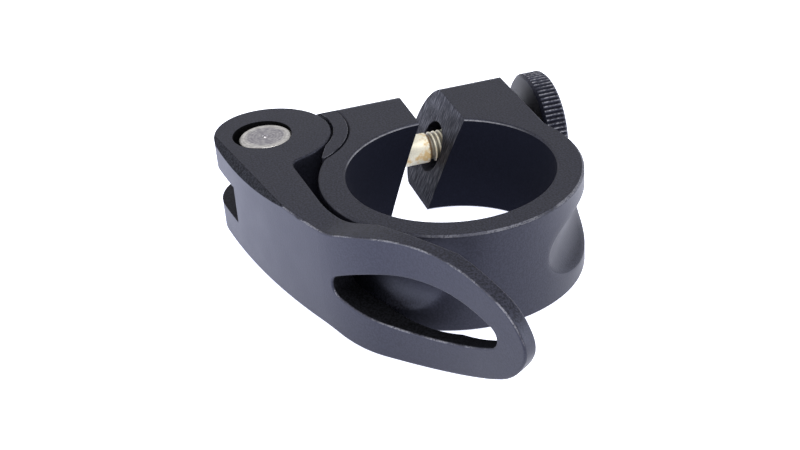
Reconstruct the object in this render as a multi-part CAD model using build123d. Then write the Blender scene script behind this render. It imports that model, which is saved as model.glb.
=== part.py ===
from build123d import *
import math
import os

# Quick-release seatpost clamp. Millimetres and degrees.
# The bore axis is Z, the collar's lower face is Z = 0, and the draw bolt runs along X behind the bore.

# Collar
bore_diameter = 31.8
collar_wall = 4.1
collar_height = 16.25
collar_chamfer = 0.35
scallop_radius = 6.5
scallop_sweep_radius = 115.0
scallop_depth = 2.75
scallop_turn = 57.0

# Ears and the slanted gap between them
bolt_offset = 2.4
ear_crown = 0.9
ear_face_inset = 1.45
ear_blend_radius = 8.0
gap_width = 6.5
gap_slant = 22.0
gap_shift = 0.65

# Draw bolt, cross pin and knurled nut
bolt_diameter = 5.0
bolt_chamfer = 0.5
bolt_hole_diameter = 8.0
bolt_tail_past_pin = 3.2
bolt_end_recess = 0.4
thread_clearance = 0.05
pivot_offset = 3.4
pin_diameter = 8.4
pin_recess = 0.1
pin_chamfer = 0.3
pin_dimple_diameter = 1.2
nut_slack = 2.85
nut_diameter = 17.8
nut_length = 3.9
nut_chamfer = 0.5
knurl_ridges = 72
knurl_depth = 0.35

# Cam and saddle
cam_radius = 10.05
cam_throw = 0.45
cam_bearing = -22.0
cam_clearance = 0.4
saddle_thickness = 2.3
saddle_clearance = 0.1
saddle_heel_bearing = -43.0
saddle_toe_bearing = -60.0
saddle_toe_width = 0.5

# Fork of the lever
head_corner_radius = 8.0
side_reach = 7.7
side_radius = 120.0
fork_slot_height = 6.4
fork_slot_depth = 5.6
pivot_clearance = 0.05
mouth_diameter = 9.4
mouth_depth = 2.2
mouth_shift_x = -0.4
mouth_shift_y = 0.7
bevel_length = 26.0
bevel_inset = 0.75
bevel_angle = 48.0

# Neck and handle of the lever
lever_gap = 0.95
lever_thickness = 4.3
neck_lean = 4.2
notch_radius = 2.2
wrap_end_bearing = 226.5
flare_radius = 43.5
flare_angle = 21.5
inner_flare_radius = 47.0
tip_thickness = 2.5
lever_edge_round = 0.3

# Leaf outline and window of the handle, seen square to its side
leaf_bearing = -57.0
leaf_tilt = 1.7
leaf_rise = 1.9
leaf_peak_offset = 3.1
leaf_arc_radius = 40.0
leaf_arc_angle = 25.0
leaf_reach = 25.15
leaf_tip_radius = 4.0
leaf_crease_radius = 14.0
window_centre_offset = 5.55
window_length = 28.3
window_height = 9.1
window_end_radius = 1.9

# Places that several pieces share
bore_radius = bore_diameter / 2
outer_radius = bore_radius + collar_wall
mid_height = collar_height / 2
bolt_y = outer_radius + bolt_offset
pivot = Vector(-outer_radius - pivot_offset, bolt_y)
ear_face_x = outer_radius - ear_face_inset
ear_round_radius = mid_height + ear_crown
ear_back_y = bolt_y + ear_round_radius
cam_reach = cam_radius + cam_throw
saddle_inner_radius = cam_reach + cam_clearance
saddle_outer_radius = saddle_inner_radius + saddle_thickness
seat_radius = saddle_outer_radius + saddle_clearance
nut_inner_x = ear_face_x + nut_slack
nut_outer_x = nut_inner_x + nut_length
handle_half_height = mid_height + leaf_rise
margin = 5.0


def polar(radius, bearing):
    """Point in plan at a radius and bearing from the origin."""
    return Vector(radius * math.cos(math.radians(bearing)), radius * math.sin(math.radians(bearing)))


def bearing_of(way):
    """Bearing of a direction in plan."""
    return math.degrees(math.atan2(way.Y, way.X))


def circles_meet(first, first_radius, second, second_radius):
    """Point in plan where two circles cross, on the left of the way from the first centre to the second."""
    way = second - first
    span = way.length
    along = (first_radius**2 - second_radius**2 + span**2) / (2 * span)
    aside = math.sqrt(first_radius**2 - along**2)
    return first + (way * along + Vector(-way.Y, way.X) * aside) / span


def upright(plan_face, low, high):
    """Prism over a face drawn in plan."""
    return Pos(0, 0, low) * extrude(plan_face, high - low)


def along_bolt(radius, start_x, end_x):
    """Round bar on the bolt axis between two places along X."""
    bar = Cylinder(radius, end_x - start_x, align=(Align.CENTER, Align.CENTER, Align.MIN))
    return Location((start_x, bolt_y, mid_height), (0, 90, 0)) * bar


def ear_block(start_x, end_x):
    """Full-height block along X whose back is rounded about the bolt axis."""
    round_back = along_bolt(ear_round_radius, start_x, end_x)
    body = Pos((start_x + end_x) / 2, 0, 0) * Box(
        end_x - start_x, bolt_y, collar_height, align=(Align.CENTER, Align.MIN, Align.MIN))
    slab = Pos((start_x + end_x) / 2, 0, 0) * Box(
        end_x - start_x, ear_back_y + margin, collar_height, align=(Align.CENTER, Align.MIN, Align.MIN))
    return body + (round_back & slab)


def make_collar():
    ring = upright(Circle(outer_radius), 0, collar_height)
    body = ring + ear_block(-bore_radius, ear_face_x)
    blend_y = math.sqrt(outer_radius**2 - ear_face_x**2)
    blend_edge = body.edges().filter_by(Axis.Z).sort_by_distance((ear_face_x, blend_y, mid_height))[0]
    body = fillet(blend_edge, ear_blend_radius)

    sweep_offset = outer_radius - scallop_depth + scallop_radius - scallop_sweep_radius
    scallop = Torus(scallop_sweep_radius, scallop_radius)
    for bearing in (-90 - scallop_turn, -90 + scallop_turn):
        sweep_centre = polar(sweep_offset, bearing)
        body -= Pos(sweep_centre.X, sweep_centre.Y, mid_height) * scallop
    body -= upright(Pos(pivot) * Circle(seat_radius), -margin, collar_height + margin)
    body -= upright(Circle(bore_radius), -margin, collar_height + margin)
    body = chamfer(body.edges().group_by(Axis.Z)[-1] + body.edges().group_by(Axis.Z)[0], collar_chamfer)

    gap_depth = ear_back_y + margin
    gap = Box(gap_width, gap_depth, 2 * collar_height, align=(Align.CENTER, Align.MIN, Align.CENTER))
    body -= Location((gap_shift, 0, mid_height), (0, gap_slant, 0)) * gap
    return body - along_bolt(bolt_hole_diameter / 2, pivot.X, ear_face_x + margin)


def make_cam_saddle():
    ring = Pos(pivot) * (Circle(saddle_outer_radius) - Circle(saddle_inner_radius))
    heel = pivot + polar(saddle_inner_radius, saddle_heel_bearing)
    toe_in = pivot + polar(saddle_outer_radius - saddle_toe_width, saddle_toe_bearing)
    toe_out = pivot + polar(saddle_outer_radius + margin, saddle_toe_bearing)
    crown = pivot + polar(2 * saddle_outer_radius, 0)
    back = pivot + polar(2 * saddle_outer_radius, 90)
    sector = make_face(Polyline(pivot, heel, toe_in, toe_out, crown, back, close=True))
    pad = upright(ring & sector, 0, collar_height)
    pad &= ear_block(pivot.X, ear_face_x)
    return pad - along_bolt(bolt_hole_diameter / 2, pivot.X, ear_face_x)


def make_pivot_pin():
    pin = upright(Pos(pivot) * Circle(pin_diameter / 2), pin_recess, collar_height - pin_recess)
    pin = chamfer(pin.edges().filter_by(GeomType.CIRCLE), pin_chamfer)
    pin -= along_bolt(bolt_diameter / 2 + thread_clearance, pivot.X - pin_diameter, pivot.X + pin_diameter)
    for face_z in (pin_recess, collar_height - pin_recess):
        pin -= Pos(pivot.X, pivot.Y, face_z) * Sphere(pin_dimple_diameter / 2)
    return pin


def make_draw_bolt():
    bolt = along_bolt(bolt_diameter / 2, pivot.X - bolt_tail_past_pin, nut_outer_x - bolt_end_recess)
    return chamfer(bolt.edges().filter_by(GeomType.CIRCLE), bolt_chamfer)


def make_knurled_nut():
    crest = nut_diameter / 2
    root = crest - knurl_depth
    half_pitch = 180 / knurl_ridges
    teeth = [polar(root if step % 2 else crest, step * half_pitch) for step in range(2 * knurl_ridges)]
    disc = extrude(make_face(Polyline(*teeth, close=True)), nut_length)
    blank = Cylinder(crest, nut_length, align=(Align.CENTER, Align.CENTER, Align.MIN))
    disc &= chamfer(blank.edges().filter_by(GeomType.CIRCLE), nut_chamfer)
    nut = Location((nut_inner_x, bolt_y, mid_height), (0, 90, 0)) * disc
    thread_radius = bolt_diameter / 2 + thread_clearance
    return nut - along_bolt(thread_radius, nut_inner_x - margin, nut_outer_x + margin)


cam_centre = pivot + polar(cam_throw, cam_bearing)
wrap_outer_radius = outer_radius + lever_gap + lever_thickness
wrap_inner_radius = outer_radius + lever_gap

# The lever's outer face is one long arc, tangent to the wrap about the ring and to the head's corner.
side_centre = circles_meet(pivot, side_radius - side_reach, Vector(0, 0), side_radius - wrap_outer_radius)
corner_centre = circles_meet(
    cam_centre, cam_radius - head_corner_radius, side_centre, side_radius - head_corner_radius)
corner_bearing = bearing_of(corner_centre - cam_centre)
side_bearing = bearing_of(corner_centre - side_centre) + 360
wrap_bearing = bearing_of(-side_centre) + 360
wrap_end = polar(wrap_outer_radius, wrap_end_bearing)


def lever_plan():
    """Outline of the lever seen from above: cam round, neck, wrap about the ring and flared handle."""
    corner = CenterArc(corner_centre, head_corner_radius, corner_bearing, side_bearing - corner_bearing)
    side = CenterArc(side_centre, side_radius, side_bearing, wrap_bearing - side_bearing)
    wrap = CenterArc((0, 0), wrap_outer_radius, wrap_bearing, wrap_end_bearing - wrap_bearing)
    flare = JernArc(wrap @ 1, wrap % 1, flare_radius, -flare_angle)
    tail = flare % 1
    tail_normal = Vector(-tail.Y, tail.X)
    outer_tip = flare @ 1 + tail * leaf_reach
    inner_tip = outer_tip + tail_normal * tip_thickness

    # Centre of the inner flare: it touches the inner wrap circle and the tail's inner face.
    across = inner_tip.dot(tail_normal) - inner_flare_radius
    ahead = math.sqrt((wrap_inner_radius + inner_flare_radius) ** 2 - across**2)
    flare_centre = tail_normal * across + tail * ahead
    inner_flare_end = flare_centre + tail_normal * inner_flare_radius
    inner_wrap_end = flare_centre * (wrap_inner_radius / flare_centre.length)
    inner_flare = RadiusArc(inner_flare_end, inner_wrap_end, inner_flare_radius)

    inner_end_bearing = bearing_of(inner_wrap_end) + 360
    inner_start_bearing = 180 + neck_lean
    inner_turn = inner_start_bearing - inner_end_bearing
    inner_wrap = CenterArc((0, 0), wrap_inner_radius, inner_end_bearing, inner_turn)

    # The neck's inner side runs on from the inner wrap until it meets the cam round at the notch.
    neck_way = polar(1, 90 + neck_lean)
    to_cam = cam_centre - inner_wrap @ 1
    abeam = to_cam.dot(neck_way)
    half_chord = math.sqrt(cam_radius**2 - to_cam.length**2 + abeam**2)
    notch = inner_wrap @ 1 + neck_way * (abeam - half_chord)
    notch_bearing = bearing_of(notch - cam_centre)
    cam = CenterArc(cam_centre, cam_radius, notch_bearing, corner_bearing - notch_bearing)
    outline = [
        corner, side, wrap, flare, Line(flare @ 1, outer_tip), Line(outer_tip, inner_tip),
        Line(inner_tip, inner_flare_end), inner_flare, inner_wrap, Line(inner_wrap @ 1, notch), cam]
    plan = make_face(outline)
    return fillet(plan.vertices().sort_by_distance(notch)[0], notch_radius)


def leaf_side():
    """Outline of the lever seen square to the handle, about the wrap's end at mid height."""
    peak = Vector(leaf_peak_offset, handle_half_height)
    tip = Vector(leaf_reach, 0)
    back = math.sqrt(leaf_arc_radius**2 - (leaf_arc_radius - handle_half_height) ** 2)
    rear = Vector(leaf_peak_offset - back, 0)
    over = JernArc(peak, (1, 0), leaf_arc_radius, -leaf_arc_angle)
    down = TangentArc(over @ 1, tip, tangent=over % 1)
    rise = RadiusArc(rear, peak, leaf_arc_radius)
    upper_half = make_face([rise, over, down, Line(tip, rear)])
    leaf = upper_half + mirror(upper_half, Plane.XZ)
    leaf = Rot(0, 0, leaf_tilt) * fillet(leaf.vertices().sort_by_distance(tip)[0], leaf_tip_radius)
    neck_length = 3 * outer_radius + cam_radius
    neck = Pos(leaf_peak_offset, 0) * Rectangle(neck_length, collar_height, align=(Align.MAX, Align.CENTER))
    outline = leaf + neck
    crease_run = math.sqrt(leaf_arc_radius**2 - (leaf_arc_radius - leaf_rise) ** 2)
    for edge_height in (mid_height, -mid_height):
        crease = Vector(leaf_peak_offset - crease_run, edge_height)
        outline = fillet(outline.vertices().sort_by_distance(crease)[0], leaf_crease_radius)
    return outline


def window_side():
    """Leaf-shaped window with rounded ends, on the same plane as the leaf."""
    half = window_height / 2
    run = window_length / 2 - window_end_radius
    arc_radius = (half**2 - window_end_radius**2 + run**2) / (2 * (half - window_end_radius))
    lens = Pos(0, half - arc_radius) * Circle(arc_radius) & Pos(0, arc_radius - half) * Circle(arc_radius)
    return Rot(0, 0, leaf_tilt) * Pos(window_centre_offset, 0) * fillet(lens.vertices(), window_end_radius)


def make_cam_lever():
    reach = 4 * outer_radius
    blank = upright(lever_plan(), -leaf_rise - margin, collar_height + leaf_rise + margin)
    side_plane = Plane(
        origin=wrap_end + Vector(0, 0, mid_height),
        x_dir=polar(1, leaf_bearing),
        z_dir=polar(1, leaf_bearing - 90))
    side = side_plane * extrude(leaf_side() - window_side(), reach, both=True)
    lever = blank & side
    lever = fillet(new_edges(blank, side, combined=lever), lever_edge_round)

    slot = Pos(pivot.X, pivot.Y - fork_slot_depth, mid_height) * Box(
        reach, reach, fork_slot_height, align=(Align.CENTER, Align.MIN, Align.CENTER))
    lever -= slot
    pin_hole = Pos(pivot) * Circle(pin_diameter / 2 + pivot_clearance)
    lever -= upright(pin_hole, -margin, collar_height + margin)
    mouth = Pos(pivot.X + mouth_shift_x, pivot.Y + mouth_shift_y) * Circle(mouth_diameter / 2)
    lever -= upright(mouth, collar_height - mouth_depth, collar_height + margin)
    lever -= upright(mouth, -margin, mouth_depth)
    return lever - bevel_cutter()


def bevel_cutter():
    """Slab whose sloping underside shaves a long flat off the upper outer edge beside the pivot."""
    bevel_turn = math.degrees(bevel_length / side_radius)
    bevel_start = side_centre + polar(side_radius - bevel_inset, side_bearing)
    bevel_end = side_centre + polar(side_radius, side_bearing + bevel_turn)
    run = bevel_end - bevel_start
    outward = polar(math.sin(math.radians(bevel_angle)), bearing_of(run) - 90)
    facet = Plane(
        origin=bevel_start + Vector(0, 0, collar_height),
        x_dir=run,
        z_dir=outward + Vector(0, 0, math.cos(math.radians(bevel_angle))))
    slab = Box(3 * bevel_length, 4 * margin, margin, align=(Align.CENTER, Align.CENTER, Align.MIN))
    return facet * slab


pieces = {
    "collar": make_collar(),
    "cam_saddle": make_cam_saddle(),
    "pivot_pin": make_pivot_pin(),
    "draw_bolt": make_draw_bolt(),
    "knurled_nut": make_knurled_nut(),
    "cam_lever": make_cam_lever(),
}

os.makedirs("parts", exist_ok=True)
for node, solid in pieces.items():
    export_step(solid, f"parts/{node}.step")
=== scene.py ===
from math import cos, pi, radians, sin

import bmesh
import bpy
from mathutils import Matrix, Vector


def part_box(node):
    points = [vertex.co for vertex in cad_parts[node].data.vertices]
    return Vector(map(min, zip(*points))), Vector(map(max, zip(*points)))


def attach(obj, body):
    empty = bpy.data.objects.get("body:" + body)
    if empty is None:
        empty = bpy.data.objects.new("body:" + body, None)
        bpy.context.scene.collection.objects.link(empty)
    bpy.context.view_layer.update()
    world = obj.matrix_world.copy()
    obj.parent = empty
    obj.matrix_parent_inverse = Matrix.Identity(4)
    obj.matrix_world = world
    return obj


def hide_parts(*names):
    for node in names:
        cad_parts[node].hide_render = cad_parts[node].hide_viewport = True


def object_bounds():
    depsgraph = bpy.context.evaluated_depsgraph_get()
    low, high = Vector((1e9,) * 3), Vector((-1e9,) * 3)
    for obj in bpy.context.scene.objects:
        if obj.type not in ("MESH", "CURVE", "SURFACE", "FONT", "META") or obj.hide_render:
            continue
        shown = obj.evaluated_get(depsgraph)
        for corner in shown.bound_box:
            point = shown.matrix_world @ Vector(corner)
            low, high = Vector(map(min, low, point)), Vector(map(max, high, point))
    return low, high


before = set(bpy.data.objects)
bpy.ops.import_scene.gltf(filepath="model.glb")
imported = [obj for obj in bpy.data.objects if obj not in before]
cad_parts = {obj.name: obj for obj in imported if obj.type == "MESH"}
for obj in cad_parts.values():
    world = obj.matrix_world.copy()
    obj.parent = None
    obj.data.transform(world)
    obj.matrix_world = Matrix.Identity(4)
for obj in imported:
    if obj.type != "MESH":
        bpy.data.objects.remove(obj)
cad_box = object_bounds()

MM = 0.001
UP = Vector((0.0, 0.0, 1.0))

# Places and sizes read from the frame, in metres
collar_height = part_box("collar")[1].z
bolt_low, bolt_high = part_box("draw_bolt")
bolt_axis = (bolt_low + bolt_high) / 2
bolt_radius = (bolt_high.z - bolt_low.z) / 2
pin_low, pin_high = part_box("pivot_pin")
pin_axis = (pin_low + pin_high) / 2
pin_radius = (pin_high.x - pin_low.x) / 2
nut_low, nut_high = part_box("knurled_nut")
nut_axis = (nut_low + nut_high) / 2
nut_radius = (nut_high.z - nut_low.z) / 2
nut_half_length = (nut_high.x - nut_low.x) / 2

# The collar's bore and chamfers, where its wall, its top's outer edge and its ears begin, and its scallops
bore_radius = 15.9 * MM
collar_chamfer = 0.35 * MM
wall_reach = 17.0 * MM
outer_edge_reach = 19.0 * MM
ear_start = 10.0 * MM
scallop_low = 1.2 * MM
scallop_high = 15.0 * MM
scallop_border = 0.8 * MM

# The saw cut between the ears, which leans over and stands off the bore's middle, and its marks
gap_width = 6.5 * MM
gap_slant = radians(22)
gap_shift = 0.65 * MM
saw_mark_width = 0.20 * MM
saw_mark_length = 2.2 * MM

# The chamfers of the nut's two faces
nut_chamfer = 0.5 * MM

# The lever's bevel beside the pivot: a point on its upper edge, where it faces in plan and how steep it is
bevel_point = Vector((-30.504, 23.596, 16.25)) * MM
bevel_bearing = radians(-170.2)
bevel_angle = radians(48)
bevel_normal = Vector((
    sin(bevel_angle) * cos(bevel_bearing),
    sin(bevel_angle) * sin(bevel_bearing),
    cos(bevel_angle),
))

# The lever's mouth round the pin and the slot of its fork
mouth_shift = Vector((-0.4, 0.7, 0.0)) * MM
mouth_radius = 4.7 * MM
slot_half_height = 3.2 * MM
slot_depth = 5.6 * MM

# The lever's handle, which hangs a little out of level, and the window in it
handle_bearing = radians(-57)
handle_tilt = radians(1.7)
handle_way = Vector((
    cos(handle_bearing) * cos(handle_tilt),
    sin(handle_bearing) * cos(handle_tilt),
    sin(handle_tilt),
))
handle_side = Vector((sin(handle_bearing), -cos(handle_bearing), 0.0))
handle_up = handle_way.cross(handle_side)
window_middle = Vector((-14.36, -22.97, 8.29)) * MM
window_half_length = 14.15 * MM
window_half_height = 4.55 * MM

# The draw bolt's shank, the relief beside it and the thread
shank_left = -17.0 * MM
shank_right = 3.3 * MM
relief_length = 0.25 * MM
relief_radius = 2.0 * MM
bolt_chamfer = 0.4 * MM
bolt_facets = 48
thread_pitch = 0.8 * MM
thread_root = 2.06 * MM
thread_facets = 32
thread_foot = 0.44 * thread_pitch
thread_crest = 0.07 * thread_pitch
thread_sunk = 0.05 * MM
thread_run_in = 0.5 * thread_pitch
thread_run_out = 0.7 * thread_pitch

# Meshes: points nearer than this are one point, and edges sharper than this stay sharp
merge_distance = 0.002 * MM
sharp_angle = radians(35)

# The black finish: its grain, its clouds, the ragged ends of its wear, and the border of a patch of painted
# shade
grain_size = 0.28 * MM
cloud_size = 5.0 * MM
ragged_size = 0.25 * MM
border_start = 0.01 * MM
border_end = 0.04 * MM

# The table that the clamp lies on, and where its light turns blue to the left and bright to the right
table_drop = 0.05 * MM
table_reach = 3.0
table_sides = 96
table_cloud = 0.4
blue_start = -15 * MM
blue_end = -45 * MM
bright_start = 20 * MM
bright_end = 50 * MM

# The middle of the clamp, which the lamps are turned to, and how bright the studio round them is
clamp_middle = Vector((-5.0, 0.0, 8.0)) * MM
studio_strength = 0.76

# The camera's place, found from the bore's and the pin's ellipses
camera_azimuth = radians(-15.704)
camera_elevation = radians(30.633)
camera_roll = radians(-4.458)
camera_distance = 225.47 * MM
camera_right = -8.705 * MM
camera_up = 5.212 * MM
camera_lens = 64.97
camera_sensor = 36.0


def colour(red, green, blue):
    return (red, green, blue, 1.0)


# Black anodising: as dyed, rubbed bare and sawn; a sheenless black for painted shade in the bore, grooves
# and recesses, also matte between saw marks; pitted on the bevel; and the tint of its sheen
anodised_black = colour(0.0085, 0.0088, 0.0135)
rubbed_grey = colour(0.42, 0.42, 0.45)
sawn_grey = colour(0.020, 0.021, 0.029)
# Sheenless black for painted shade in the bore, the nut's grooves and its ear side, and matte between saw
# marks
matte_and_shade_black = colour(0.0065, 0.0074, 0.0140)
# The bevel's pitted black, which also carries the painted shade in the lever's recesses
pitted_and_shade_black = colour(0.015, 0.0155, 0.0185)
black_sheen = colour(0.745, 0.77, 1.0)

# The pin's steel, the bolt's zinc, what has settled on it, and painted shade for its thread's roots
pin_shadow = colour(0.33, 0.315, 0.345)
pin_grey = colour(0.52, 0.505, 0.51)
pin_bright = colour(0.72, 0.70, 0.67)
zinc_white = colour(0.96, 0.91, 0.74)
old_grease = colour(0.72, 0.46, 0.13)
thread_root_shade = colour(0.09, 0.08, 0.065)
rust_brown = colour(0.14, 0.075, 0.025)

# The white table, the light that it gives and the studio's lights
table_grey = colour(0.86, 0.86, 0.86)
table_white = colour(0.90, 0.90, 0.90)
cool_glow = colour(0.985, 1.015, 1.19)
blue_glow = colour(1.22, 1.30, 1.75)
studio_grey = colour(0.97, 0.97, 1.0)
plain_light = (1.0, 1.0, 1.0)
cool_light = (0.90, 0.94, 1.0)


class Value:
    """A socket in a finish, with arithmetic that adds Math nodes."""

    def __init__(self, finish, socket):
        self.finish = finish
        self.socket = socket

    def math(self, operation, *terms):
        return self.finish.node("ShaderNodeMath", {"operation": operation}, dict(enumerate(terms)))

    def __add__(self, other):
        return self.math("ADD", self, other)

    __radd__ = __add__

    def __sub__(self, other):
        return self.math("SUBTRACT", self, other)

    def __rsub__(self, other):
        return self.math("SUBTRACT", other, self)

    def __mul__(self, other):
        return self.math("MULTIPLY", self, other)

    __rmul__ = __mul__

    def __truediv__(self, other):
        return self.math("DIVIDE", self, other)

    def __pow__(self, other):
        return self.math("POWER", self, other)

    def __abs__(self):
        return self.math("ABSOLUTE", self)

    def sine(self):
        return self.math("SINE", self)

    def ramp(self, start, end):
        """Rises smoothly from 0 at start to 1 at end."""
        settings = {"interpolation_type": "SMOOTHSTEP"}
        return self.finish.node("ShaderNodeMapRange", settings, {0: self, 1: start, 2: end})

    def fall(self, start, end):
        """Falls smoothly from 1 at start to 0 at end."""
        return 1 - self.ramp(start, end)


def reach_of(across, up):
    """A point's distance from an axis, from how far across and up from it the point is."""
    return (across**2 + up**2) ** 0.5


class Finish:
    """A material, built up node by node."""

    def __init__(self, name):
        self.material = bpy.data.materials.new(name)
        self.material.use_nodes = True
        self.tree = self.material.node_tree
        self.tree.nodes.clear()
        self.place = self.node("ShaderNodeTexCoord", output="Object")

    def node(self, kind, settings=None, sockets=None, output=0):
        """A node with its settings and its sockets' values or links, and one of its outputs as a value."""
        node = self.tree.nodes.new(kind)
        for name, setting in (settings or {}).items():
            setattr(node, name, setting)
        for name, given in (sockets or {}).items():
            if isinstance(given, Value):
                self.tree.links.new(given.socket, node.inputs[name])
            else:
                node.inputs[name].default_value = given
        return Value(self, node.outputs[output]) if node.outputs else None

    def axes(self):
        """The x, y and z of a point on the surface, in the piece's own frame."""
        return [self.node("ShaderNodeSeparateXYZ", {}, {0: self.place}, output=axis) for axis in range(3)]

    def vector(self, x, y, z):
        return self.node("ShaderNodeCombineXYZ", {}, {0: x, 1: y, 2: z})

    def along(self, vector, way):
        """How far the vector goes in a direction."""
        settings = {"operation": "DOT_PRODUCT"}
        return self.node("ShaderNodeVectorMath", settings, {0: vector, 1: way}, output="Value")

    def past(self, point, way):
        """How far the surface lies past a point in a fixed direction."""
        return self.along(self.place, way) - way.dot(point)

    def facing(self, way):
        """How squarely the surface faces a fixed direction of the piece's own frame, from -1 to 1."""
        world = self.node("ShaderNodeNewGeometry", output="Normal")
        settings = {"vector_type": "NORMAL", "convert_from": "WORLD", "convert_to": "OBJECT"}
        return self.along(self.node("ShaderNodeVectorTransform", settings, {0: world}), way)

    def noise(self, size, detail, vector=None):
        """Cloudy noise with blotches of about this size in metres, from 0 to 1."""
        sockets = {"Vector": vector or self.place, "Scale": 1 / size, "Detail": detail}
        return self.node("ShaderNodeTexNoise", {}, sockets)

    def blend(self, amount, first, second):
        """The first colour or normal where amount is 0 and the second where it is 1."""
        return self.node("ShaderNodeMix", {"data_type": "RGBA"}, {0: amount, 6: first, 7: second}, output=2)

    def tint(self, paint, amount):
        """The paint made lighter or darker by amount."""
        grey = self.vector(amount, amount, amount)
        settings = {"data_type": "RGBA", "blend_type": "MULTIPLY"}
        return self.node("ShaderNodeMix", settings, {0: 1.0, 6: paint, 7: grey}, output=2)

    def rounded(self, radius):
        """The surface's normal with its sharp edges rounded over by radius."""
        return self.node("ShaderNodeBevel", {"samples": 6}, {"Radius": radius})

    def edges(self, radius):
        """Rises from 0 at about radius from the surface's sharp edges to its most on them."""
        flat = self.node("ShaderNodeNewGeometry", output="Normal")
        return 1 - self.along(flat, self.rounded(radius))

    def bumped(self, height, depth, normal):
        """The normal made uneven by a height from 0 to 1, which stands for a depth in metres."""
        sockets = {"Height": height, "Distance": depth, "Strength": 1.0, "Normal": normal}
        return self.node("ShaderNodeBump", {}, sockets)

    def shader(self, **sockets):
        """A Principled shader, with its sockets' names written with underscores."""
        named = {name.replace("_", " "): given for name, given in sockets.items()}
        return self.node("ShaderNodeBsdfPrincipled", {}, named)

    def satin(self, base, rough, bare, gloss, normal):
        """Anodising's bluish sheen, with metal showing through it as far as bare says."""
        return self.shader(
            Base_Color=base, Roughness=rough, Metallic=bare, Specular_IOR_Level=gloss,
            Specular_Tint=black_sheen, Normal=normal)

    def matte_and_shade(self, base, normal):
        """A dark surface without sheen: matte on rough faces, and painted shade where little light would
        reach.
        """
        return self.shader(Base_Color=base, Roughness=0.85, Specular_IOR_Level=0.05, Normal=normal)

    def surface(self, shader, second=None, share=0.0):
        """The finished material, with a share of a second shader where one is given."""
        if second:
            shader = self.node("ShaderNodeMixShader", {}, {0: share, 1: shader, 2: second})
        self.node("ShaderNodeOutputMaterial", {}, {"Surface": shader})
        return self.material


def blasted_black(finish, worn):
    """Colour, roughness and grain of black anodising on blasted aluminium, rubbed bare where worn is 1."""
    grain = finish.noise(grain_size, detail=4.0)
    cloud = finish.noise(cloud_size, detail=3.0)

    # The grain shows more on level faces than on upright ones.
    level = abs(finish.facing(UP)).ramp(0.3, 0.9)
    contrast = 0.7 + 1.5 * level
    shade = 1.15 + contrast * (grain.ramp(0.37, 0.63) - 0.5) + 0.30 * (cloud - 0.35)
    painted = finish.blend(worn, finish.tint(anodised_black, shade), rubbed_grey)
    rough = 0.47 + 0.10 * (grain - 0.5) + 0.10 * (cloud - 0.5) - 0.10 * worn
    return painted, rough, grain


def broken_wear(finish, patch):
    """Stretches about patch long where a finish is rubbed through, ragged at their ends."""
    stretches = finish.noise(patch, detail=4.0).ramp(0.40, 0.60)
    ragged = finish.noise(ragged_size, detail=2.0).ramp(0.30, 0.60)
    return stretches * ragged


def lever_recess_shade(finish, outwards):
    """Painted shade where little light reaches: the mouth round the pin, the fork's slot and the window's
    walls.
    """
    x, y, z = finish.axes()
    mouth = pin_axis + mouth_shift
    from_mouth = reach_of(x - mouth.x, y - mouth.y)
    in_mouth = (from_mouth - mouth_radius).fall(border_start, border_end)

    before_slot = pin_axis.y - slot_depth - y
    over_slot = abs(z - pin_axis.z) - slot_half_height
    in_slot = before_slot.fall(border_start, border_end) * over_slot.fall(border_start, border_end)

    down_window = abs(finish.past(window_middle, handle_way)) / window_half_length
    over_window = abs(finish.past(window_middle, handle_up)) / window_half_height
    in_window = down_window.fall(1.01, 1.03) * over_window.fall(1.03, 1.08) * outwards.fall(0.10, 0.40)
    return in_mouth + 0.5 * in_slot + 0.9 * in_window


def lever_finish():
    """The lever's blasted black: outer edges rubbed, recesses darkened with painted shade, the bevel by the
    pivot pitted.
    """
    finish = Finish("lever_black")
    outwards = finish.facing(handle_side)
    bevel = abs(finish.past(bevel_point, bevel_normal)).fall(0.015 * MM, 0.04 * MM)
    outer_edge = outwards.ramp(0.25, 0.50) * finish.facing(UP).ramp(0.25, 0.50) * (1 - bevel)
    worn = outer_edge * (0.05 + 0.34 * broken_wear(finish, patch=3.5 * MM))
    painted, rough, grain = blasted_black(finish, worn)
    normal = finish.bumped(grain, depth=0.018 * MM, normal=finish.rounded(radius=0.25 * MM))

    recess_shade = lever_recess_shade(finish, outwards)
    pits = finish.noise(grain_size, detail=4.0).ramp(0.35, 0.65)
    # The pitted black is darkened further in the recesses as painted shade.
    pitted_and_shaded = finish.tint(pitted_and_shade_black, (0.3 + 1.5 * pits) * (1 - 0.85 * recess_shade))
    satin = finish.satin(painted, rough, bare=0.45 * worn, gloss=0.4, normal=normal)
    return finish.surface(satin, finish.matte_and_shade(pitted_and_shaded, normal), 0.85 * bevel + recess_shade)


def saddle_finish():
    """The saddle's blasted black, rubbed bare along its edges in places."""
    finish = Finish("saddle_black")
    edge = finish.edges(radius=0.15 * MM).ramp(0.015, 0.09)
    worn = 0.48 * edge * broken_wear(finish, patch=2.0 * MM)
    painted, rough, grain = blasted_black(finish, worn)
    normal = finish.bumped(grain, depth=0.025 * MM, normal=finish.rounded(radius=0.15 * MM))
    return finish.surface(finish.satin(painted, rough, bare=0.4 * worn, gloss=0.36, normal=normal))


def saw_cut(finish):
    """1 on the two faces of the gap, and the height of the saw's strokes down them."""
    x, y, z = finish.axes()
    from_middle = x - gap_shift
    over_middle = z - collar_height / 2
    across = cos(gap_slant) * from_middle - sin(gap_slant) * over_middle
    down = sin(gap_slant) * from_middle + cos(gap_slant) * over_middle
    sawn = (abs(across) - gap_width / 2).fall(0.02 * MM, 0.03 * MM)
    sawn = sawn * y.ramp(ear_start, ear_start + 0.5 * MM)
    stroke_place = finish.vector(y / saw_mark_width, down / saw_mark_length, 0.0)
    return sawn, finish.noise(1.0, detail=4.0, vector=stroke_place)


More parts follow.
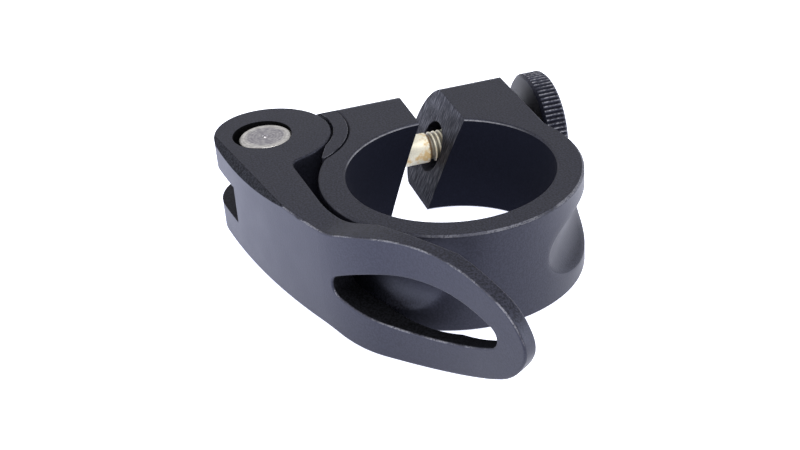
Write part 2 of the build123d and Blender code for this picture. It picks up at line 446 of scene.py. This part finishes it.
def rim_wear_and_highlight(finish, y, z, reach):
    """How bright the chamfers round the top are, from scuffed wear and painted highlights: most at the
    bore's far rim, then at the near outer edge.
    """
    below_top = collar_height - z
    chamfer = below_top.ramp(0.01 * MM, 0.03 * MM)
    chamfer = chamfer * below_top.fall(collar_chamfer - 0.05 * MM, collar_chamfer - 0.01 * MM)

    # Both stretches fade out towards the collar's sides.
    far_rim = y.ramp(4.0 * MM, 12.0 * MM) * (reach - bore_radius).fall(0.12 * MM, 0.24 * MM)
    near_edge = y.fall(-12.0 * MM, -2.0 * MM) * reach.ramp(outer_edge_reach, outer_edge_reach + 0.2 * MM)
    scuffs = broken_wear(finish, patch=6.0 * MM)
    return chamfer * (0.02 + (0.02 + 0.20 * scuffs) * near_edge + (0.20 + 0.34 * scuffs) * far_rim)


def collar_finish():
    """The collar's blasted black, with rubbed rims brightened by painted highlights, saw marks on the faces
    of the gap, and painted shade in the bore, down the gap's faces and at the right scallop's foot.
    """
    finish = Finish("collar_black")
    x, y, z = finish.axes()
    reach = reach_of(x, y)
    sawn, strokes = saw_cut(finish)
    marks = strokes.ramp(0.42, 0.66)
    # The saw marks are bared more towards the top: a painted highlight where light falls on the gap's upper
    # faces.
    scraped_and_lit = sawn * marks * z.ramp(3.0 * MM, 12.0 * MM)
    # Worn carries painted highlights on the rims and painted light on the upper saw marks, beside real
    # scuffs.
    worn = rim_wear_and_highlight(finish, y, z, reach) * (1 - sawn) + 0.22 * scraped_and_lit
    painted, rough, grain = blasted_black(finish, worn)
    base = finish.blend(sawn * (1 - worn), painted, finish.tint(sawn_grey, 0.4 + 1.2 * marks))
    rough = rough - 0.10 * sawn * (marks - 0.6)

    # The scallops' edges are blasted soft, the other edges stay crisp.
    on_wall = reach.ramp(wall_reach, wall_reach + 0.2 * MM) * y.fall(8.0 * MM, 12.0 * MM)
    scalloped = on_wall * z.ramp(scallop_low, scallop_low + scallop_border)
    scalloped = scalloped * z.fall(scallop_high - scallop_border, scallop_high)
    edges = finish.blend(scalloped, finish.rounded(radius=0.22 * MM), finish.rounded(radius=1.6 * MM))
    height = grain * (1 - sawn) + 1.6 * strokes * sawn
    normal = finish.bumped(height, depth=0.018 * MM, normal=edges)

    # Painted shade: the bore is sheenless black all over, the gap's faces darken towards their foot, and
    # the right scallop towards its upward-facing foot; between the saw marks the faces are matte.
    bore_shade = (reach - bore_radius).fall(0.02 * MM, 0.04 * MM)
    marks_and_shade = sawn * (0.50 * (1 - marks) + 0.30 * z.fall(2.0 * MM, 13.0 * MM))
    scallop_shade = scalloped * x.ramp(0.0, 8.0 * MM) * z.fall(2.5 * MM, 11.0 * MM)
    scallop_shade = scallop_shade * finish.facing(UP).ramp(-0.05, 0.35)
    satin = finish.satin(base, rough, bare=0.45 * worn, gloss=0.37, normal=normal)
    matte_and_shade = finish.matte_and_shade(finish.tint(matte_and_shade_black, 0.6 + 0.8 * grain), normal)
    return finish.surface(satin, matte_and_shade, bore_shade + marks_and_shade + 0.40 * scallop_shade)


def nut_finish():
    """Black anodising, rubbed on the knurling's crests, with painted shade in its grooves and a painted
    shadow of the ear on the front and lower part of the face towards it.
    """
    finish = Finish("nut_black")
    x, y, z = finish.axes()
    behind_axis = y - nut_axis.y
    over_axis = z - nut_axis.z
    below_crest = nut_radius - reach_of(behind_axis, over_axis)
    streaks = finish.noise(0.5 * MM, detail=4.0).ramp(0.35, 0.70)
    worn = 0.62 * below_crest.fall(0.02 * MM, 0.16 * MM) * streaks
    painted, rough, grain = blasted_black(finish, worn)
    normal = finish.bumped(grain, depth=0.010 * MM, normal=finish.rounded(radius=0.10 * MM))

    from_end = nut_half_length - abs(x - nut_axis.x)
    # Painted shade in the knurling's grooves, and a painted shadow of the ear on the front and lower part
    # of the face towards it.
    groove_shade = below_crest.ramp(0.12 * MM, 0.34 * MM) * below_crest.fall(0.7 * MM, 1.0 * MM)
    groove_shade = groove_shade * from_end.ramp(nut_chamfer - 0.15 * MM, nut_chamfer + 0.05 * MM)
    ear_shadow = (x - nut_low.x).fall(nut_chamfer - 0.10 * MM, nut_chamfer + 0.02 * MM)
    ear_shadow = ear_shadow * (behind_axis + over_axis).fall(2.0 * MM, 8.5 * MM)
    satin = finish.satin(painted, rough, bare=0.5 * worn, gloss=0.4, normal=normal)
    matte_and_shade = finish.matte_and_shade(finish.tint(matte_and_shade_black, 0.3 + 0.8 * grain), normal)
    return finish.surface(satin, matte_and_shade, 0.8 * groove_shade + 0.9 * ear_shadow)


def pin_finish():
    """Turned steel: a bright rim about a mottled, darker middle with fine turned rings."""
    finish = Finish("pin_steel")
    ring_pitch = 0.50 * MM
    x, y = finish.axes()[:2]
    reach = reach_of(x - pin_axis.x, y - pin_axis.y)
    wander = finish.noise(1.2 * MM, detail=3.0)
    rings = 0.5 + 0.5 * (reach * (2 * pi / ring_pitch) + 3.0 * wander).sine()
    mottle = finish.noise(0.55 * MM, detail=5.0).ramp(0.32, 0.70)
    rim = (reach / pin_radius + 0.16 * (wander - 0.5)).ramp(0.66, 0.80)
    middle = finish.blend(mottle, pin_shadow, pin_grey)
    steel = finish.blend(rim, middle, finish.tint(pin_bright, 0.75 + 0.30 * mottle))
    base = finish.tint(steel, 0.80 + 0.20 * rings)
    rough = 0.42 + 0.12 * (1 - mottle) - 0.06 * rings
    normal = finish.bumped(rings, depth=0.006 * MM, normal=finish.rounded(radius=0.15 * MM))
    return finish.surface(finish.shader(Base_Color=base, Roughness=rough, Metallic=0.95, Normal=normal))


def bolt_finish():
    """White zinc: old grease on the shank, painted shade in the thread's roots, rust in the relief by the
    thread.
    """
    finish = Finish("bolt_zinc")
    grease_drop = 0.5 * MM
    grease_half_width = 1.5 * MM
    rust_middle = 0.15 * MM
    rust_half_width = 0.5 * MM
    x, y, z = finish.axes()
    cloud = finish.noise(0.75 * MM, detail=5.0)
    speck = finish.noise(0.22 * MM, detail=4.0)
    over_axis = z - bolt_axis.z
    past_shank = x - shank_right
    root = (bolt_radius - reach_of(y - bolt_axis.y, over_axis)).ramp(0.06 * MM, 0.32 * MM)

    # The grease lies in a band along the shank, below its middle, and thickens towards the thread.
    band = (abs(over_axis + grease_drop) / grease_half_width).fall(0.2, 1.0)
    grease = (cloud + 0.22 * band + 0.16 * past_shank.ramp(-2.5 * MM, 0.0)).ramp(0.62, 0.90)
    grease = grease * (1 - 0.6 * past_shank.ramp(0.1 * MM, 0.5 * MM))
    rust = (abs(past_shank - rust_middle) / rust_half_width + 0.9 * speck).ramp(1.25, 0.70)
    greased = finish.blend(0.80 * grease, finish.tint(zinc_white, 0.80 + 0.40 * speck), old_grease)
    # Darker in the thread's roots: painted shade.
    root_shaded = finish.blend(0.85 * root, greased, thread_root_shade)
    base = finish.blend(0.85 * rust, root_shaded, rust_brown)
    rough = 0.48 + 0.15 * grease + 0.15 * rust
    metal = 0.25 - 0.15 * grease - 0.1 * rust
    normal = finish.bumped(speck, depth=0.012 * MM, normal=finish.rounded(radius=0.04 * MM))
    return finish.surface(finish.shader(Base_Color=base, Roughness=rough, Metallic=metal, Normal=normal))


def dress_nodes():
    """Gives each solid that is kept from the CAD its finish."""
    finishes = {
        "collar": collar_finish(),
        "cam_lever": lever_finish(),
        "cam_saddle": saddle_finish(),
        "knurled_nut": nut_finish(),
        "pivot_pin": pin_finish(),
    }
    for name, material in finishes.items():
        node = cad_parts[name]
        node.data.materials.clear()
        node.data.materials.append(material)


def finished_piece(name, bm, material):
    """A piece at the origin, its seams merged and its faces turned outwards."""
    bmesh.ops.remove_doubles(bm, verts=bm.verts, dist=merge_distance)
    bmesh.ops.recalc_face_normals(bm, faces=bm.faces)
    mesh = bpy.data.meshes.new(name)
    bm.to_mesh(mesh)
    bm.free()
    mesh.materials.append(material)
    mesh.shade_smooth()
    mesh.set_sharp_from_angle(angle=sharp_angle)
    piece = bpy.data.objects.new(name, mesh)
    bpy.context.scene.collection.objects.link(piece)
    return piece


def on_bolt(along, reach):
    """A point beside the bolt's axis, on its far side from the bore."""
    return (along, bolt_axis.y + reach, bolt_axis.z)


def turn_core(bm):
    """The bolt without its thread ridges, as one turned profile."""
    left = bolt_low.x
    right = bolt_high.x
    relief_right = shank_right + relief_length
    relief_slope = relief_length / 3
    profile = [
        (left, 0.0),
        (left, thread_root - bolt_chamfer),
        (left + bolt_chamfer, thread_root),
        (shank_left - relief_length, thread_root),
        (shank_left, bolt_radius),
        (shank_right, bolt_radius),
        (shank_right + relief_slope, relief_radius),
        (relief_right, relief_radius),
        (relief_right + relief_slope, thread_root),
        (right - bolt_chamfer, thread_root),
        (right, thread_root - bolt_chamfer),
        (right, 0.0),
    ]
    points = [bm.verts.new(on_bolt(along, reach)) for along, reach in profile]
    lines = [bm.edges.new(pair) for pair in zip(points, points[1:])]
    bmesh.ops.spin(
        bm, geom=points + lines, cent=bolt_axis, axis=(1, 0, 0), angle=2 * pi, steps=bolt_facets,
        use_merge=True)


def cut_thread(bm, start, end):
    """A thread ridge wound round the core from start to end."""
    turns = int((end - start) / thread_pitch)
    section = [
        on_bolt(start - thread_foot, thread_root - thread_sunk),
        on_bolt(start - thread_crest, bolt_radius),
        on_bolt(start + thread_crest, bolt_radius),
        on_bolt(start + thread_foot, thread_root - thread_sunk),
    ]
    face = bm.faces.new([bm.verts.new(point) for point in section])
    bmesh.ops.spin(
        bm, geom=[face], cent=bolt_axis, axis=(1, 0, 0), dvec=(thread_pitch / thread_facets, 0, 0),
        angle=2 * pi * turns, steps=thread_facets * turns)


def make_bolt(material):
    """The draw bolt with a thread at each end, in place of the plain CAD rod."""
    bm = bmesh.new()
    turn_core(bm)
    cut_thread(bm, bolt_low.x + thread_pitch, shank_left - thread_pitch)
    cut_thread(bm, shank_right + relief_length + thread_run_in, bolt_high.x - thread_run_out)
    bolt = finished_piece("threaded_bolt", bm, material)
    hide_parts("draw_bolt")
    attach(bolt, "draw")


def make_table():
    """A wide white table whose own painted glow lights the clamp, brighter on both sides and bluer to the
    left.
    """
    finish = Finish("white_table")
    x = finish.axes()[0]
    cloud = finish.noise(table_cloud, detail=2.0)
    brightness = 1.02 + 0.04 * cloud + 0.62 * x.ramp(bright_start, bright_end)
    light = finish.blend(x.ramp(blue_start, blue_end), finish.tint(cool_glow, brightness), blue_glow)
    material = finish.surface(finish.shader(
        Base_Color=finish.blend(cloud, table_grey, table_white), Roughness=0.9, Emission_Color=light,
        Emission_Strength=1.0))
    bm = bmesh.new()
    bmesh.ops.create_circle(bm, cap_ends=True, segments=table_sides, radius=table_reach)
    bmesh.ops.translate(bm, verts=bm.verts, vec=(0, 0, cad_box[0].z - table_drop))
    table = finished_piece("white_table", bm, material)


def make_softbox(name, place, width, height, watts, tint):
    """A rectangular lamp turned towards the middle of the clamp."""
    lamp = bpy.data.lights.new(name, "AREA")
    lamp.shape = "RECTANGLE"
    lamp.size = width
    lamp.size_y = height
    lamp.energy = watts
    lamp.color = tint
    box = bpy.data.objects.new(name, lamp)
    box.location = place
    box.rotation_euler = (clamp_middle - Vector(place)).to_track_quat("-Z", "Y").to_euler()
    bpy.context.scene.collection.objects.link(box)


def make_lights():
    """One large soft lamp from the front, two weak ones from the sides, and a dim studio round them."""
    make_softbox("front_softbox", (0.05, -0.40, 0.75), width=0.50, height=0.30, watts=4.0, tint=plain_light)
    make_softbox("left_softbox", (-0.60, -0.15, 0.10), width=0.30, height=0.20, watts=1.6, tint=cool_light)
    make_softbox("right_softbox", (0.60, -0.20, 0.12), width=0.30, height=0.20, watts=1.5, tint=cool_light)
    studio = bpy.data.worlds.new("dim_studio")
    studio.use_nodes = True
    sky = studio.node_tree.nodes["Background"]
    sky.inputs["Color"].default_value = studio_grey
    sky.inputs["Strength"].default_value = studio_strength
    bpy.context.scene.world = studio


def make_camera():
    """The camera at the photograph's place, rolled a little, with plain tones."""
    back = Vector((
        sin(camera_azimuth) * cos(camera_elevation),
        -cos(camera_azimuth) * cos(camera_elevation),
        sin(camera_elevation),
    ))
    level = Vector((cos(camera_azimuth), sin(camera_azimuth), 0.0))
    upright = back.cross(level)
    right = cos(camera_roll) * level + sin(camera_roll) * upright
    up = cos(camera_roll) * upright - sin(camera_roll) * level
    place = camera_right * right + camera_up * up + camera_distance * back
    lens = bpy.data.cameras.new("camera")
    lens.sensor_width = camera_sensor
    lens.lens = camera_lens
    lens.clip_start = 0.01
    lens.clip_end = 20.0
    camera = bpy.data.objects.new("camera", lens)
    camera.matrix_world = Matrix.Translation(place) @ Matrix((right, up, back)).transposed().to_4x4()
    bpy.context.scene.collection.objects.link(camera)
    bpy.context.scene.camera = camera
    bpy.context.scene.view_settings.view_transform = "Standard"


dress_nodes()
make_bolt(bolt_finish())
make_table()
make_lights()
make_camera()
